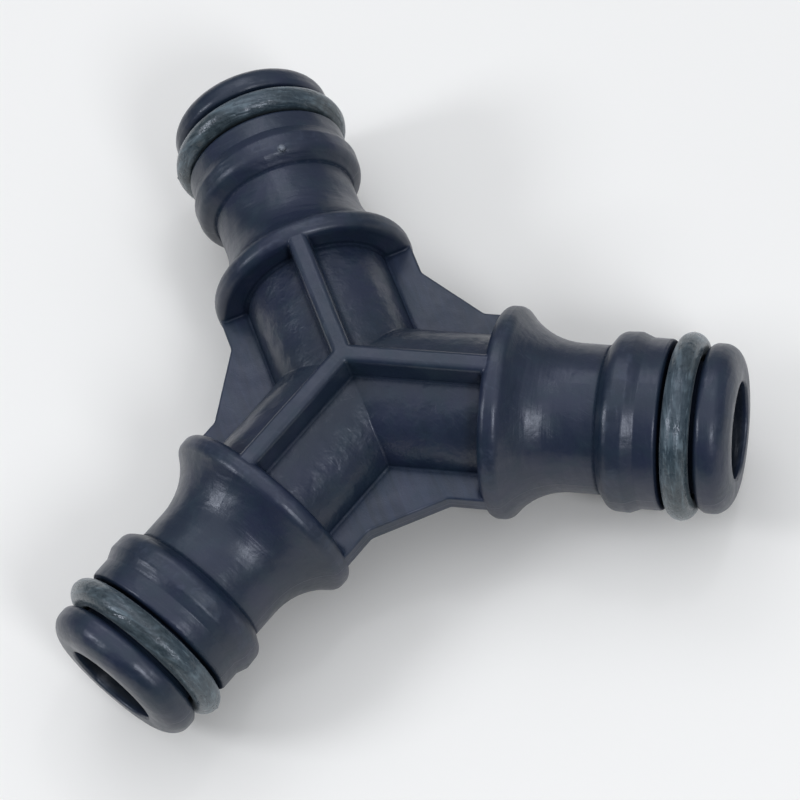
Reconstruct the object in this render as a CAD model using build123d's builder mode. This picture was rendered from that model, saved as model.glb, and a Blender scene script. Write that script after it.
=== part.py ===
from build123d import *
import os
from math import sin, cos, radians, degrees, hypot, atan2

os.makedirs("parts", exist_ok=True)

# Three-way quick-connect hose coupler, millimetres, +Z up.
# The origin is the point where the three bore axes meet. The axes lie in the
# plane Z = 0, 120 degrees apart. Every arm has the same section; "s" is the
# distance from the origin along an arm and "r" the radius about its axis.

# ---- driving dimensions ----------------------------------------------------
arm_azimuths = {"inlet": 90.0, "outlet_right": -30.0, "outlet_left": 210.0}

bore_r = 4.55            # through bore of every arm
tube_r = 7.22            # round tube between the hub centre and the flange
tip_s = 36.4             # hub centre to the mouth of an arm

# stop flange and flare
flange_back_s = 13.45    # flat face of the flange, toward the hub
flange_r = 10.1
flange_land_end_s = 14.75
flange_bead_r = 1.05     # rounding of the rim toward the neck
flange_corner_r = 0.9   # rounding of the rim toward the hub
flare_end_s = 21.0       # the flare runs out into the neck here

# latch neck, latch ridge and collar
neck_r = 7.05
latch_foot_s = 23.92     # foot and head of the steep latch face
latch_head_s = 24.9
latch_head_r = 8.42
crown_s = 26.65          # crown of the ridge, then a ramp down to the collar
crown_r = 8.5
collar_start_s = 27.75
collar_r = 8.05
collar_end_s = 29.85
collar_edge_r = 0.4

# seal groove and nose
groove_r = 6.19
nose_start_s = 33.15
nose_r = 7.96
nose_back_round = 0.85
nose_round_axial = 1.9   # rounded nose: axial run of the rounding
nose_round_radial = 2.5  # and its radial run
mouth_round = 0.25

# O-ring, seated in the groove
ring_wire_r = 1.31
ring_clearance = 0.01
ring_s = 0.5 * (collar_end_s + nose_start_s)

# web between the arms
web_t = 2.0
web_half_w = 9.95        # strip along each arm, half width
web_knee_s = 10.36       # the strip stops here, a straight edge runs to the next arm
web_corner_round = 1.0
web_edge_round = 0.25

# ribs over and under every tube, meeting in a Y
rib_top_z = 9.94
rib_top_half_w = 0.93
rib_foot_half_w = 1.08
rib_edge_round = 0.55

hub_fillet = 0.25         # every inside corner of the hub
flange_foot_fillet = 0.2    # where the hub runs into the flange

# ---- derived ---------------------------------------------------------------
arm_end = flange_back_s + 0.7      # hub features run this far, into the flange
rib_mid_half_w = rib_top_half_w + (rib_foot_half_w - rib_top_half_w) * rib_top_z / (rib_top_z - tube_r)


def arm_dir(az):
    return Vector(cos(radians(az)), sin(radians(az)), 0)


def side_plane(az):
    # local x runs out along the arm, local y is +Z
    return Plane(origin=(0, 0, 0), x_dir=arm_dir(az),
                 z_dir=(sin(radians(az)), -cos(radians(az)), 0))


def cross_plane(az, s=0.0):
    # across the arm at s, normal pointing out along it, local y is +Z
    return Plane(origin=arm_dir(az) * s, x_dir=(-sin(radians(az)), cos(radians(az)), 0),
                 z_dir=arm_dir(az))


def arm_frame(p):
    """(s, offset across the arm, |z|) of a point, for the arm it lies nearest."""
    az = max(arm_azimuths.values(), key=lambda a: p.X * cos(radians(a)) + p.Y * sin(radians(a)))
    s = p.X * cos(radians(az)) + p.Y * sin(radians(az))
    return s, abs(-p.X * sin(radians(az)) + p.Y * cos(radians(az))), abs(p.Z)


def polar(c, r, deg):
    return (c[0] + r * cos(radians(deg)), c[1] + r * sin(radians(deg)))


# flare: an arc tangent to the rim bead and to the neck
bead_c = (flange_land_end_s, flange_r - flange_bead_r)
dx = flare_end_s - bead_c[0]
dy = neck_r - bead_c[1]
flare_R = (dx * dx + dy * dy - flange_bead_r ** 2) / (2 * (flange_bead_r - dy))
flare_c = (flare_end_s, neck_r + flare_R)
share = flange_bead_r / (flange_bead_r + flare_R)
flare_p = (bead_c[0] + share * (flare_c[0] - bead_c[0]),
           bead_c[1] + share * (flare_c[1] - bead_c[1]))
bead_deg = degrees(atan2(flare_p[1] - bead_c[1], flare_p[0] - bead_c[0]))
flare_deg = degrees(atan2(flare_p[1] - flare_c[1], flare_p[0] - flare_c[0]))

# nose rounding: a quarter ellipse about this point
nose_c = (tip_s - nose_round_axial, nose_r - nose_round_radial)

# ---- moulded body ----------------------------------------------------------
with BuildPart() as body:
    # round tubes of the hub
    for az in arm_azimuths.values():
        with BuildSketch(cross_plane(az)):
            Circle(tube_r)
        extrude(amount=arm_end)

    # web on the mid-plane
    outline = []
    for az in (-30.0, 90.0, 210.0):
        across = Vector(-sin(radians(az)), cos(radians(az)), 0)
        for s, w in ((web_knee_s, -web_half_w), (arm_end, -web_half_w),
                     (arm_end, web_half_w), (web_knee_s, web_half_w)):
            q = arm_dir(az) * s + across * w
            outline.append((q.X, q.Y))
    with BuildSketch(Plane.XY.offset(-web_t / 2)):
        with BuildLine():
            Polyline(*outline, close=True)
        make_face()
        fillet([v for v in vertices() if hypot(v.X, v.Y) < hypot(web_knee_s, web_half_w) + 0.1],
               web_corner_round)
    extrude(amount=web_t)

    # ribs, drafted from foot to crest, above and below every tube
    for az in arm_azimuths.values():
        with BuildSketch(cross_plane(az)):
            with BuildLine():
                Polyline((rib_top_half_w, rib_top_z), (rib_mid_half_w, 0),
                         (rib_top_half_w, -rib_top_z), (-rib_top_half_w, -rib_top_z),
                         (-rib_mid_half_w, 0), (-rib_top_half_w, rib_top_z), close=True)
            make_face()
        extrude(amount=arm_end)

    # inside corners: rib feet, rib to rib, tube to tube, tube to web
    inner = []
    for e in edges():
        s, w, z = arm_frame(e @ 0.5)
        if e.geom_type == GeomType.ELLIPSE:
            inner.append(e)
        elif e.geom_type == GeomType.LINE and e.length > 2.5 and s < arm_end - 0.1:
            if w < 1.5 and z < rib_top_z - 0.1:
                inner.append(e)
            elif abs(z - web_t / 2) < 0.01 and abs(w - tube_r) < 0.2:
                inner.append(e)
    print("hub inside edges", len(inner))
    fillet(inner, hub_fillet)

    # crests of the ribs
    crest = [e for e in edges() if abs((e @ 0.5).Z) > rib_top_z - 0.01
             and e.length > 5 and arm_frame(e @ 0.5)[0] < arm_end - 0.1]
    print("rib crest edges", len(crest))
    fillet(crest, rib_edge_round)

    # rim of the web
    rim = [e for e in edges() if abs(abs((e @ 0.5).Z) - web_t / 2) < 0.01
           and arm_frame(e @ 0.5)[1] > tube_r + 1.0 and arm_frame(e @ 0.5)[0] < arm_end - 0.1]
    print("web rim edges", len(rim))
    fillet(rim, web_edge_round)

    # flange, flare, neck, latch ridge, collar, groove and nose
    for az in arm_azimuths.values():
        with BuildSketch(side_plane(az)):
            with BuildLine():
                l0 = Line((flange_back_s, 0), (flange_back_s, flange_r - flange_corner_r))
                l1 = RadiusArc(l0 @ 1, (flange_back_s + flange_corner_r, flange_r), flange_corner_r)
                l2 = Line(l1 @ 1, (flange_land_end_s, flange_r))
                l3 = ThreePointArc(l2 @ 1, polar(bead_c, flange_bead_r, 0.5 * (90 + bead_deg)), flare_p)
                l4 = ThreePointArc(flare_p, polar(flare_c, flare_R, 0.5 * (flare_deg - 90)),
                                   (flare_end_s, neck_r))
                l5 = Polyline(l4 @ 1, (latch_foot_s, neck_r), (latch_head_s, latch_head_r),
                              (crown_s, crown_r), (collar_start_s, collar_r),
                              (collar_end_s - collar_edge_r, collar_r))
                l6 = RadiusArc(l5 @ 1, (collar_end_s, collar_r - collar_edge_r), collar_edge_r)
                l7 = Polyline(l6 @ 1, (collar_end_s, groove_r), (nose_start_s, groove_r),
                              (nose_start_s, nose_r - nose_back_round))
                l8 = RadiusArc(l7 @ 1, (nose_start_s + nose_back_round, nose_r), nose_back_round)
                l9 = Line(l8 @ 1, (nose_c[0], nose_r))
                l10 = EllipticalCenterArc(nose_c, nose_round_axial, nose_round_radial,
                                          start_angle=0, arc_size=90)
                l11 = Polyline((tip_s, nose_c[1]), (tip_s, 0), (flange_back_s, 0))
            make_face()
            for (ps, pr), rad in (((latch_foot_s, neck_r), 0.3), ((latch_head_s, latch_head_r), 1.2),
                                  ((crown_s, crown_r), 0.6), ((collar_start_s, collar_r), 0.35)):
                fillet([v for v in vertices() if hypot(v.X - ps, v.Y - pr) < 0.01], rad)
        revolve(axis=Axis((0, 0, 0), tuple(arm_dir(az))), revolution_arc=360)

    # foot of the flange, where ribs and web run into its back face; the fillet
    # carries on round the tube by itself
    foot = [e for e in edges() if e.geom_type == GeomType.LINE and e.length > 1.5
            and all(abs(arm_frame(e @ t)[0] - flange_back_s) < 0.01 for t in (0.1, 0.9))]
    print("flange foot edges", len(foot))
    fillet(foot, flange_foot_fillet)

    # bores from every mouth to the hub centre
    for az in arm_azimuths.values():
        with BuildSketch(cross_plane(az)):
            Circle(bore_r)
        extrude(amount=tip_s + 1, mode=Mode.SUBTRACT)
    mouths = [e for e in edges() if e.geom_type == GeomType.CIRCLE and abs(e.radius - bore_r) < 0.01
              and abs(arm_frame(e.arc_center)[0] - tip_s) < 0.01]
    print("mouth edges", len(mouths))
    fillet(mouths, mouth_round)


# ---- O-rings ---------------------------------------------------------------
ring_centre_r = groove_r + ring_clearance + ring_wire_r

with BuildPart() as oring_inlet:
    with BuildSketch(side_plane(arm_azimuths["inlet"])):
        with Locations((ring_s, ring_centre_r)):
            Circle(ring_wire_r)
    revolve(axis=Axis((0, 0, 0), tuple(arm_dir(arm_azimuths["inlet"]))), revolution_arc=360)

with BuildPart() as oring_outlet_right:
    with BuildSketch(side_plane(arm_azimuths["outlet_right"])):
        with Locations((ring_s, ring_centre_r)):
            Circle(ring_wire_r)
    revolve(axis=Axis((0, 0, 0), tuple(arm_dir(arm_azimuths["outlet_right"]))), revolution_arc=360)

with BuildPart() as oring_outlet_left:
    with BuildSketch(side_plane(arm_azimuths["outlet_left"])):
        with Locations((ring_s, ring_centre_r)):
            Circle(ring_wire_r)
    revolve(axis=Axis((0, 0, 0), tuple(arm_dir(arm_azimuths["outlet_left"]))), revolution_arc=360)

# ---- labels and export -----------------------------------------------------
body.part.label = "body"
export_step(body.part, "parts/body.step")
oring_inlet.part.label = "oring_inlet"
export_step(oring_inlet.part, "parts/oring_inlet.step")
oring_outlet_right.part.label = "oring_outlet_right"
export_step(oring_outlet_right.part, "parts/oring_outlet_right.step")
oring_outlet_left.part.label = "oring_outlet_left"
export_step(oring_outlet_left.part, "parts/oring_outlet_left.step")

for piece in (body, oring_inlet, oring_outlet_right, oring_outlet_left):
    print(piece.part.label, "solids", len(piece.part.solids()), "valid", piece.part.is_valid,
          "volume", round(piece.part.volume, 1))
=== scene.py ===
import bpy
import bmesh
import math
import random
from mathutils import Matrix, Vector, noise


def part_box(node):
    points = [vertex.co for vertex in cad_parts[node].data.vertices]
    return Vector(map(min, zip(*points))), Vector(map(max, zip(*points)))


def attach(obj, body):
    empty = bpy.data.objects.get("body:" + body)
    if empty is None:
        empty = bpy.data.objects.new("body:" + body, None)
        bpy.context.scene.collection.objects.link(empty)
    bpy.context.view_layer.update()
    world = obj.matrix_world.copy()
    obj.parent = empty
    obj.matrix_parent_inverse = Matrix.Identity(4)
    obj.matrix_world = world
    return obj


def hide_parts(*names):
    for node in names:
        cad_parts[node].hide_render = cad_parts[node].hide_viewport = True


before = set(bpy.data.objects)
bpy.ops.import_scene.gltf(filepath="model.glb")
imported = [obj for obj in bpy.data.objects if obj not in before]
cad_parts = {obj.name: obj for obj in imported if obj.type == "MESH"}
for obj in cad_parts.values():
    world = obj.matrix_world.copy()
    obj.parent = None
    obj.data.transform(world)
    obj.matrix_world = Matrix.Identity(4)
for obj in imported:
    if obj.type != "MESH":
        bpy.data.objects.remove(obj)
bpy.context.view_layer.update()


MM = 0.001
FLOOR_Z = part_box("body")[0][2]
scene = bpy.context.scene
scene.view_settings.view_transform = "Standard"

AZIMUTH = {"oring_inlet": 90.0, "oring_outlet_right": -30.0, "oring_outlet_left": 210.0}


def arm_dir(az):
    return Vector((math.cos(math.radians(az)), math.sin(math.radians(az)), 0.0))


# ---------------------------------------------------------------- camera
cam_data = bpy.data.cameras.new("camera")
cam_data.sensor_fit = "HORIZONTAL"
cam_data.sensor_width = 36.0
cam_data.lens = 152.515
cam_data.clip_start = 0.01
cam_data.clip_end = 20.0
cam = bpy.data.objects.new("camera", cam_data)
scene.collection.objects.link(cam)
rot = Matrix(((0.92684862, 0.37540410, -0.00483621),
              (-0.32690508, 0.80063919, -0.50210551),
              (-0.18462041, 0.46695679, 0.86479284))).to_4x4()
cam.matrix_world = Matrix.Translation((0.0017833653, -0.1636351045, 0.2793126321)) @ rot
scene.camera = cam

# ---------------------------------------------------------------- world and lights
world = bpy.data.worlds.new("studio")
world.use_nodes = True
wt = world.node_tree
bg = wt.nodes["Background"]
wc = wt.nodes.new("ShaderNodeTexCoord")
ws = wt.nodes.new("ShaderNodeSeparateXYZ")
wr = wt.nodes.new("ShaderNodeValToRGB")
wt.links.new(wc.outputs["Generated"], ws.inputs[0])
wt.links.new(ws.outputs["Z"], wr.inputs["Fac"])
wt.links.new(wr.outputs["Color"], bg.inputs["Color"])
# a white tent, brightest overhead and dimmer toward its walls; its light is a little cool
COOL = (0.945, 1.0, 1.150)
ramp = wr.color_ramp.elements
ramp[0].position, ramp[1].position = 0.0, 0.95
ramp.new(0.42)
ramp.new(0.75)
for el, val in zip(ramp, (0.26, 0.37, 0.72, 1.03)):
    el.color = (val * COOL[0], val * COOL[1], val * COOL[2], 1.0)


def dimmer(az, el, near, to):
    """A share that falls to `to` in the middle of a patch of the tent."""
    dot = wt.nodes.new("ShaderNodeVectorMath")
    dot.operation = "DOT_PRODUCT"
    wt.links.new(wc.outputs["Generated"], dot.inputs[0])
    a, e = math.radians(az), math.radians(el)
    dot.inputs[1].default_value = (math.cos(e) * math.cos(a), math.cos(e) * math.sin(a), math.sin(e))
    share = wt.nodes.new("ShaderNodeMapRange")
    share.interpolation_type = "SMOOTHSTEP"
    wt.links.new(dot.outputs["Value"], share.inputs["Value"])
    for key, val in (("From Min", near), ("From Max", 0.98), ("To Min", 1.0), ("To Max", to)):
        share.inputs[key].default_value = val
    return share.outputs["Result"]


# the open side of the tent, in front and to the left, and a dimmer wall behind to the left
both = wt.nodes.new("ShaderNodeMath")
both.operation = "MULTIPLY"
wt.links.new(dimmer(-138.0, 22.0, 0.45, 0.30), both.inputs[0])
wt.links.new(dimmer(140.0, 4.0, 0.60, 0.50), both.inputs[1])
wt.links.new(both.outputs[0], bg.inputs["Strength"])
scene.world = world


def area(name, az, el, size, radiance, dist=0.55, tint=(0.822, 0.870, 1.0)):
    """A soft box seen from the object at this azimuth and elevation."""
    a, e = math.radians(az), math.radians(el)
    loc = Vector((math.cos(e) * math.cos(a), math.cos(e) * math.sin(a), math.sin(e))) * dist
    data = bpy.data.lights.new(name, "AREA")
    data.shape = "ELLIPSE"
    data.size, data.size_y = size
    data.energy = radiance * math.pi * size[0] * size[1]
    data.color = tint
    ob = bpy.data.objects.new(name, data)
    scene.collection.objects.link(ob)
    ob.location = loc
    ob.rotation_euler = (-loc).to_track_quat("-Z", "Y").to_euler()
    return ob


area("box_left", 171.0, 37.0, (0.16, 0.16), 11.0)
area("box_front", -72.0, 41.0, (0.14, 0.17), 12.5)
area("box_back", 82.0, 51.0, (0.30, 0.20), 1.45)
area("box_small", 30.0, 63.0, (0.07, 0.07), 7.5)

# ---------------------------------------------------------------- node helper


class Nodes:
    """Builds one node material. Lengths inside it are millimetres."""

    def __init__(self, name):
        self.mat = bpy.data.materials.new(name)
        self.mat.use_nodes = True
        self.tree = self.mat.node_tree
        self.bsdf = self.tree.nodes["Principled BSDF"]
        coord = self.add("ShaderNodeTexCoord")
        self.p = self.vmath("MULTIPLY", coord.outputs["Object"], (1000.0, 1000.0, 1000.0))
        sep = self.add("ShaderNodeSeparateXYZ")
        self.link(self.p, sep.inputs[0])
        self.x, self.y, self.z = sep.outputs
        # s: distance out along the nearest arm, r: radius about that arm's axis
        s = None
        for az in AZIMUTH.values():
            d = self.vmath("DOT_PRODUCT", self.p, tuple(arm_dir(az)))
            s = d if s is None else self.math("MAXIMUM", s, d)
        self.s = s
        l2 = self.vmath("DOT_PRODUCT", self.p, self.p)
        self.r = self.math("SQRT", self.math("MAXIMUM", self.math("SUBTRACT", l2, self.math("MULTIPLY", s, s)), 0.0))
        self.az = self.math("ABSOLUTE", self.z)

    def add(self, kind, **attrs):
        n = self.tree.nodes.new(kind)
        for k, v in attrs.items():
            setattr(n, k, v)
        return n

    def link(self, a, b):
        if isinstance(a, (int, float)):
            b.default_value = a
        elif isinstance(a, tuple):
            b.default_value = a if len(b.default_value) == len(a) else a + (1.0,)
        else:
            self.tree.links.new(a, b)

    def math(self, op, a, b=0.0, c=0.0, clamp=False):
        n = self.add("ShaderNodeMath", operation=op, use_clamp=clamp)
        self.link(a, n.inputs[0])
        self.link(b, n.inputs[1])
        if op in ("MULTIPLY_ADD", "SMOOTH_MIN", "SMOOTH_MAX"):
            self.link(c, n.inputs[2])
        return n.outputs[0]

    def vmath(self, op, a, b=(0.0, 0.0, 0.0)):
        n = self.add("ShaderNodeVectorMath", operation=op)
        self.link(a, n.inputs[0])
        self.link(b, n.inputs[1])
        return n.outputs["Value"] if op in ("DOT_PRODUCT", "LENGTH", "DISTANCE") else n.outputs["Vector"]

    def combine(self, a, b, c):
        n = self.add("ShaderNodeCombineXYZ")
        for v, i in zip((a, b, c), n.inputs):
            self.link(v, i)
        return n.outputs[0]

    def remap(self, v, a, b, c=0.0, d=1.0, smooth=True):
        n = self.add("ShaderNodeMapRange", interpolation_type="SMOOTHSTEP" if smooth else "LINEAR")
        self.link(v, n.inputs["Value"])
        for key, val in (("From Min", a), ("From Max", b), ("To Min", c), ("To Max", d)):
            n.inputs[key].default_value = val
        return n.outputs["Result"]

    def band(self, v, lo, hi, soft):
        return self.math("MULTIPLY", self.remap(v, lo - soft, lo + soft), self.remap(v, hi - soft, hi + soft, 1.0, 0.0))

    def noise(self, vec, scale, detail=3.0, rough=0.5, dist=0.0):
        n = self.add("ShaderNodeTexNoise", noise_dimensions="3D")
        self.link(vec, n.inputs["Vector"])
        n.inputs["Scale"].default_value = scale
        n.inputs["Detail"].default_value = detail
        n.inputs["Roughness"].default_value = rough
        n.inputs["Distortion"].default_value = dist
        return n.outputs[0]

    def ao_shade_mask(self, distance_mm, lo, hi):
        """Mask for painted shade from an Ambient Occlusion node: 1 down in the inside corners, 0 on open surface."""
        n = self.add("ShaderNodeAmbientOcclusion", samples=10)
        n.inputs["Distance"].default_value = distance_mm * MM
        return self.remap(n.outputs["AO"], lo, hi, 1.0, 0.0)

    def shift(self, vec, by):
        return self.vmath("ADD", vec, by)

    def mix(self, fac, a, b):
        n = self.add("ShaderNodeMix", data_type="RGBA", blend_type="MIX")
        self.link(fac, n.inputs["Factor"])
        self.link(a, n.inputs[6])
        self.link(b, n.inputs[7])
        return n.outputs[2]

    def mul(self, *vals):
        out = vals[0]
        for v in vals[1:]:
            out = self.math("MULTIPLY", out, v)
        return out

    def sum(self, *vals):
        out = vals[0]
        for v in vals[1:]:
            out = self.math("ADD", out, v)
        return out

    def bump(self, height, distance_mm, strength=1.0, normal=None):
        n = self.add("ShaderNodeBump")
        n.inputs["Strength"].default_value = strength
        n.inputs["Distance"].default_value = distance_mm * MM
        self.link(height, n.inputs["Height"])
        if normal is not None:
            self.link(normal, n.inputs["Normal"])
        return n.outputs["Normal"]

    def streak_vec(self, across, along):
        """Coordinates for streaks that run round an arm."""
        px, py, pz = (self.math("MULTIPLY", v, along) for v in (self.x, self.y, self.z))
        return self.combine(self.math("MULTIPLY_ADD", self.s, across, px),
                            self.math("MULTIPLY_ADD", self.r, across, py),
                            self.math("MULTIPLY_ADD", self.math("SUBTRACT", self.s, self.r), across * 0.5, pz))


# ---------------------------------------------------------------- moulded plastic
GATE = (1.9, 25.0, 8.22)      # a stub of the runner on the inlet's ridge, mm
m = Nodes("body_plastic")
low = m.noise(m.p, 0.16, 2.0, 0.5, 0.4)
mid = m.noise(m.shift(m.p, (31.0, 7.0, 12.0)), 0.45, 3.0, 0.55, 0.3)
fine = m.noise(m.p, 3.2, 3.0, 0.6)
web = m.mul(m.remap(m.az, 1.0, 1.35, 1.0, 0.0), m.remap(m.r, 7.0, 7.4), m.remap(m.s, 13.2, 13.5, 1.0, 0.0))
tube = m.mul(m.band(m.r, 7.0, 7.4, 0.1), m.remap(m.s, 13.2, 13.5, 1.0, 0.0))
rim = m.mul(m.band(m.s, 13.5, 15.2, 0.25), m.remap(m.r, 9.7, 10.05))
ridge = m.mul(m.band(m.s, 24.7, 26.9, 0.2), m.remap(m.r, 8.2, 8.45))
nose = m.remap(m.s, 34.4, 36.2)
ribtop = m.mul(m.remap(m.az, 9.6, 9.9), m.remap(m.s, 13.3, 13.6, 1.0, 0.0))
rubs = m.noise(m.shift(m.p, (3.0, 40.0, 9.0)), 0.9, 4.0, 0.65, 0.6)
rub = m.remap(rubs, 0.50, 0.66)
wear = m.math("MULTIPLY", m.math("MAXIMUM", m.math("MAXIMUM", rim, ridge), m.math("MAXIMUM", m.mul(nose, 0.8), m.mul(ribtop, 0.5))), rub)
flow = m.noise(m.combine(m.math("MULTIPLY", m.x, 2.2), m.math("MULTIPLY", m.y, 0.22), m.z), 0.55, 3.0, 0.6, 0.8)
scr = m.noise(m.combine(m.math("MULTIPLY", m.math("ADD", m.x, m.math("MULTIPLY", m.y, 0.7)), 6.0),
                        m.math("MULTIPLY", m.math("SUBTRACT", m.y, m.math("MULTIPLY", m.x, 0.7)), 0.35),
                        m.math("MULTIPLY", m.z, 1.5)), 0.9, 2.0, 0.5)
scratch = m.remap(scr, 0.66, 0.70)
round_marks = m.noise(m.streak_vec(5.0, 0.25), 1.0, 2.0, 0.5)
parting = m.mul(m.remap(m.az, 0.03, 0.09, 1.0, 0.0), m.remap(m.r, 6.9, 7.0))

pebble = m.noise(m.shift(m.p, (5.0, 17.0, 3.0)), 1.35, 1.6, 0.5, 0.2)
gritty = m.mul(m.math("MAXIMUM", tube, m.mul(m.remap(m.s, 13.6, 14.4), 0.45)), m.remap(mid, 0.36, 0.60, 0.35, 1.0))
gate_glint = m.remap(m.vmath("DISTANCE", m.p, GATE), 0.26, 0.50, 1.0, 0.0)
# Painted shade: the latch foot, the flange foot and the inside corners found by the Ambient Occlusion node are painted
# darker, made rougher and given less specular, for the shade that falls there.
latch_foot_shade = m.mul(m.band(m.s, 23.75, 24.10, 0.10), m.remap(m.r, 7.35, 7.55, 1.0, 0.0))
flange_foot_shade = m.mul(m.band(m.s, 13.05, 13.55, 0.12), m.remap(m.r, 7.55, 7.80, 1.0, 0.0))
painted_shade = m.math("MAXIMUM", m.ao_shade_mask(0.8, 0.68, 0.93),
              m.math("MAXIMUM", m.mul(latch_foot_shade, 0.75), m.mul(flange_foot_shade, 0.78)))
corner_shade = m.mul(painted_shade, m.remap(fine, 0.30, 0.60, 0.75, 1.0), m.math("SUBTRACT", 1.0, gate_glint))

col = m.mix(m.remap(low, 0.35, 0.65), (0.0088, 0.0172, 0.0320), (0.0143, 0.0205, 0.0415))
col = m.mix(m.mul(m.remap(mid, 0.42, 0.70), 0.55), col, (0.0110, 0.0255, 0.0385))
col = m.mix(m.mul(gritty, m.remap(pebble, 0.50, 0.70), 0.18), col, (0.0200, 0.0285, 0.0460))
col = m.mix(m.mul(gritty, m.remap(pebble, 0.50, 0.32), 0.18), col, (0.0055, 0.0100, 0.0190))
col = m.mix(m.mul(web, m.remap(flow, 0.35, 0.70), 0.40), col, (0.026, 0.040, 0.074))
# painted shade in the inside corners and at the latch and flange feet
col = m.mix(m.mul(corner_shade, 0.45), col, (0.0088, 0.0128, 0.0185))
# Painted highlight: the gate stub is painted pale grey for the glint on it.
col = m.mix(m.mul(gate_glint, m.remap(fine, 0.35, 0.60, 0.55, 0.95)), col, (0.230, 0.250, 0.265))
col = m.mix(m.mul(wear, 0.20), col, (0.060, 0.075, 0.110))
col = m.mix(m.mul(scratch, 0.07), col, (0.090, 0.105, 0.140))
col = m.mix(m.mul(parting, 0.30), col, (0.050, 0.062, 0.090))

# Painted shade: the inside of the bore is painted near-black for the shade down the hole.
bore_shade = m.mul(m.remap(m.r, 4.65, 4.80, 1.0, 0.0), m.remap(m.s, 35.6, 36.2, 1.0, 0.0))
col = m.mix(m.mul(bore_shade, 0.8), col, (0.0045, 0.0065, 0.0085))
m.link(col, m.bsdf.inputs["Base Color"])

rgh = m.sum(m.remap(mid, 0.30, 0.70, 0.30, 0.39, False), m.remap(fine, 0.3, 0.7, -0.03, 0.03, False),
            m.mul(wear, 0.06), m.mul(corner_shade, 0.30), m.mul(gate_glint, -0.10))
m.link(rgh, m.bsdf.inputs["Roughness"])
m.bsdf.inputs["IOR"].default_value = 1.5
m.link(m.remap(corner_shade, 0.0, 0.80, 0.5, 0.03, False), m.bsdf.inputs["Specular IOR Level"])

ripple = m.noise(m.streak_vec(1.1, 0.32), 1.0, 1.0, 0.4)
wav_fine = m.noise(m.shift(m.p, (9.0, 1.0, 4.0)), 0.62, 0.6, 0.4)
wav_low = m.noise(m.shift(m.p, (2.0, 8.0, 4.0)), 0.26, 0.0)
grain = m.noise(m.p, 7.0, 2.0, 0.5)
n1 = m.bump(wav_low, 0.20)
n2 = m.bump(m.mul(wav_fine, m.sum(m.mul(tube, 0.5), 0.8)), 0.085, normal=n1)
n2 = m.bump(m.mul(pebble, m.sum(gritty, 0.06)), 0.056, normal=n2)
pits = m.noise(m.shift(m.p, (1.0, 3.0, 27.0)), 3.1, 1.0, 0.5)
n2 = m.bump(m.mul(pits, gritty), 0.011, normal=n2)
n3 = m.bump(m.mul(ripple, m.remap(m.s, 13.2, 13.6, 0.25, 1.0)), 0.055, normal=n2)
n4 = m.bump(grain, 0.0060, normal=n3)
n5 = m.bump(m.sum(m.mul(scratch, -0.25), m.mul(parting, 1.2), m.mul(round_marks, 1.2)), 0.008, normal=n4)
m.link(n5, m.bsdf.inputs["Normal"])
body_mat = m.mat

# ---------------------------------------------------------------- seal rubber
m = Nodes("seal_rubber")
streak = m.noise(m.streak_vec(1.5, 0.50), 1.0, 2.0, 0.5, 0.4)
streak_fine = m.noise(m.streak_vec(5.0, 0.9), 1.0, 2.0, 0.5, 0.5)
blot = m.noise(m.shift(m.p, (4.0, 4.0, 1.0)), 0.55, 3.0, 0.6, 0.5)
blot2 = m.noise(m.shift(m.p, (14.0, 2.0, 7.0)), 1.6, 2.0, 0.6, 0.4)
smear = m.mul(m.remap(streak, 0.44, 0.68), m.remap(blot, 0.36, 0.62))
broad = m.noise(m.shift(m.p, (6.0, 21.0, 2.0)), 0.16, 1.0, 0.5)
col = m.mix(m.remap(blot2, 0.35, 0.65), (0.0215, 0.0330, 0.0375), (0.0360, 0.0520, 0.0560))
col = m.mix(m.mul(m.remap(broad, 0.40, 0.62), 0.45), col, (0.040, 0.064, 0.082))
col = m.mix(m.mul(smear, 0.80), col, (0.112, 0.152, 0.165))
col = m.mix(m.mul(m.remap(streak_fine, 0.56, 0.70), m.remap(broad, 0.36, 0.60, 0.15, 0.45)), col, (0.160, 0.205, 0.215))
col = m.mix(m.mul(m.remap(streak_fine, 0.44, 0.30), 0.4), col, (0.012, 0.019, 0.021))
# Painted shade: the rubber is painted darker and loses its specular where the Ambient Occlusion node finds the groove
# and the contact with the body.
painted_shade = m.ao_shade_mask(1.6, 0.30, 0.72)
col = m.mix(m.mul(painted_shade, 0.7), col, (0.009, 0.012, 0.013))
m.link(col, m.bsdf.inputs["Base Color"])
m.link(m.sum(m.remap(streak, 0.3, 0.7, 0.24, 0.38, False), m.remap(blot2, 0.3, 0.7, -0.04, 0.04, False)),
       m.bsdf.inputs["Roughness"])
m.link(m.remap(painted_shade, 0.0, 0.9, 0.5, 0.0, False), m.bsdf.inputs["Specular IOR Level"])
m.bsdf.inputs["Sheen Weight"].default_value = 0.16
m.bsdf.inputs["Sheen Roughness"].default_value = 0.45
m.bsdf.inputs["Sheen Tint"].default_value = (0.86, 0.96, 1.0, 1.0)
m.bsdf.inputs["IOR"].default_value = 1.52
n1 = m.bump(blot2, 0.06)
n2 = m.bump(streak, 0.11, normal=n1)
n3 = m.bump(streak_fine, 0.012, normal=n2)
n4 = m.bump(m.noise(m.p, 8.0, 2.0, 0.5), 0.004, normal=n3)
m.link(n4, m.bsdf.inputs["Normal"])
rubber_mat = m.mat

# ---------------------------------------------------------------- floor
m = Nodes("floor_paper")
col = m.mix(m.noise(m.p, 0.02, 3.0, 0.5), (0.952, 0.908, 0.800), (0.965, 0.922, 0.812))
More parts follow.
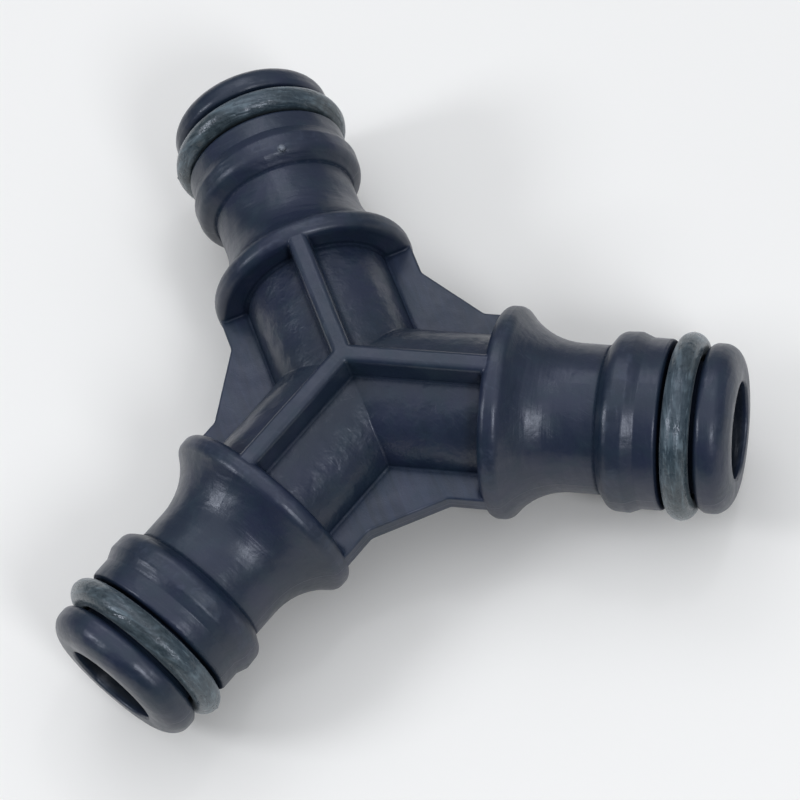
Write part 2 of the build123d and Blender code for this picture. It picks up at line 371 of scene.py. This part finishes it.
# Painted shade: the floor is painted grey from 85 mm to 220 mm out, for the studio light falling off away from the set.
col = m.mix(m.remap(m.vmath("LENGTH", m.p), 85.0, 220.0), col, (0.36, 0.36, 0.35))
m.link(col, m.bsdf.inputs["Base Color"])
m.link(m.remap(m.noise(m.p, 0.3, 2.0), 0.3, 0.7, 0.8, 0.9, False), m.bsdf.inputs["Roughness"])
m.bsdf.inputs["Specular IOR Level"].default_value = 0.2
m.link(m.bump(m.noise(m.p, 1.5, 3.0), 0.01), m.bsdf.inputs["Normal"])
floor_mat = m.mat

bm = bmesh.new()
bmesh.ops.create_grid(bm, x_segments=4, y_segments=4, size=2.0)
me = bpy.data.meshes.new("floor")
bm.to_mesh(me)
bm.free()
floor = bpy.data.objects.new("floor", me)
scene.collection.objects.link(floor)
floor.location.z = FLOOR_Z - 0.00002
floor.data.materials.append(floor_mat)

# ---------------------------------------------------------------- body
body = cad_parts["body"]
body.data.materials.clear()
body.data.materials.append(body_mat)

# ---------------------------------------------------------------- O-rings
GROOVE_R, RING_R, RING_S = 6.19, 1.31, 31.5
RING_CENTRE = GROOVE_R + 0.01 + RING_R


def ring_mesh(name, az, seed):
    """A moulded O-ring: a round cord with a thin flash line round its outside, a
    few flash nibs and a slightly uneven skin."""
    rnd = random.Random(seed)
    nu, nv = 288, 44
    d = arm_dir(az)
    across = Vector((-d.y, d.x, 0.0))
    up = Vector((0.0, 0.0, 1.0))
    nibs = [(rnd.uniform(0, 2 * math.pi), rnd.uniform(0.05, 0.10), rnd.uniform(0.012, 0.03)) for _ in range(5)]
    verts, faces = [], []
    for i in range(nu):
        u = 2 * math.pi * i / nu
        c = across * math.cos(u) + up * math.sin(u)
        for j in range(nv):
            v = 2 * math.pi * j / nv          # v = 0 points away from the arm's axis
            flash = 0.022 * math.exp(-(math.sin(v / 2) * 2 / 0.075) ** 2)
            for nu0, h, w in nibs:
                du = (u - nu0 + math.pi) % (2 * math.pi) - math.pi
                flash += h * math.exp(-(du / w) ** 2 - (math.sin(v / 2) * 2 / 0.09) ** 2)
            q = c * (RING_CENTRE + RING_R * math.cos(v)) + d * (RING_R * math.sin(v))
            skin = 0.018 * noise.noise(q * 0.55 + Vector((seed, 0, 0))) + 0.008 * noise.noise(q * 1.7 + Vector((0, seed, 0)))
            rr = RING_R + flash + skin * 0.5 - 0.008
            p = d * (RING_S + rr * math.sin(v)) + c * (RING_CENTRE + rr * math.cos(v))
            verts.append(p * MM)
    for i in range(nu):
        for j in range(nv):
            a, b = i * nv + j, i * nv + (j + 1) % nv
            c2, d2 = ((i + 1) % nu) * nv + (j + 1) % nv, ((i + 1) % nu) * nv + j
            faces.append((a, b, c2, d2))
    me = bpy.data.meshes.new(name)
    me.from_pydata([tuple(v) for v in verts], [], faces)
    me.update()
    bm = bmesh.new()
    bm.from_mesh(me)
    bmesh.ops.recalc_face_normals(bm, faces=bm.faces)
    bm.to_mesh(me)
    bm.free()
    for f in me.polygons:
        f.use_smooth = True
    ob = bpy.data.objects.new(name, me)
    scene.collection.objects.link(ob)
    ob.data.materials.append(rubber_mat)
    return ob


for seed, (node, az) in enumerate(AZIMUTH.items(), start=3):
    ring = ring_mesh("seal_" + node[6:], az, seed)
    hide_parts(node)
    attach(ring, "root")

# ---------------------------------------------------------------- gate nib
def nib_mesh(name, centre, radius, height, seed):
    """The small uneven stub left where the moulding was cut from its runner."""
    rnd = random.Random(seed)
    az = AZIMUTH["oring_inlet"]
    d = arm_dir(az)
    out = (centre - d * centre.dot(d)).normalized()
    e1 = d
    e2 = out.cross(d).normalized()
    rings, spokes = 7, 28
    verts, faces = [centre + out * height * 0.9], []
    for i in range(1, rings + 1):
        t = i / rings
        for j in range(spokes):
            u = 2 * math.pi * j / spokes
            wob = 1.0 + 0.16 * math.sin(2 * u + 0.7) + 0.07 * math.sin(5 * u)
            h = height * (1.0 - t ** 3.2) * (0.85 + 0.25 * math.sin(3 * u + 1.0) * t) - 0.10 * t ** 6
            h += rnd.uniform(-0.008, 0.008)
            verts.append(centre + (e1 * math.cos(u) + e2 * math.sin(u)) * radius * wob * t + out * h)
    for j in range(spokes):
        faces.append((0, 1 + j, 1 + (j + 1) % spokes))
    for i in range(rings - 1):
        for j in range(spokes):
            a, b = 1 + i * spokes + j, 1 + i * spokes + (j + 1) % spokes
            faces.append((a, a + spokes, b + spokes, b))
    last = 1 + (rings - 1) * spokes
    verts.append(centre - out * 0.12)
    for j in range(spokes):
        faces.append((last + (j + 1) % spokes, last + j, len(verts) - 1))
    me = bpy.data.meshes.new(name)
    me.from_pydata([tuple(v * MM) for v in verts], [], faces)
    bm = bmesh.new()
    bm.from_mesh(me)
    bmesh.ops.recalc_face_normals(bm, faces=bm.faces)
    bm.to_mesh(me)
    bm.free()
    for f in me.polygons:
        f.use_smooth = True
    ob = bpy.data.objects.new(name, me)
    scene.collection.objects.link(ob)
    ob.data.materials.append(body_mat)
    return ob


nib = nib_mesh("gate_nib", Vector(GATE), 0.36, 0.30, 11)
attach(nib, "root")
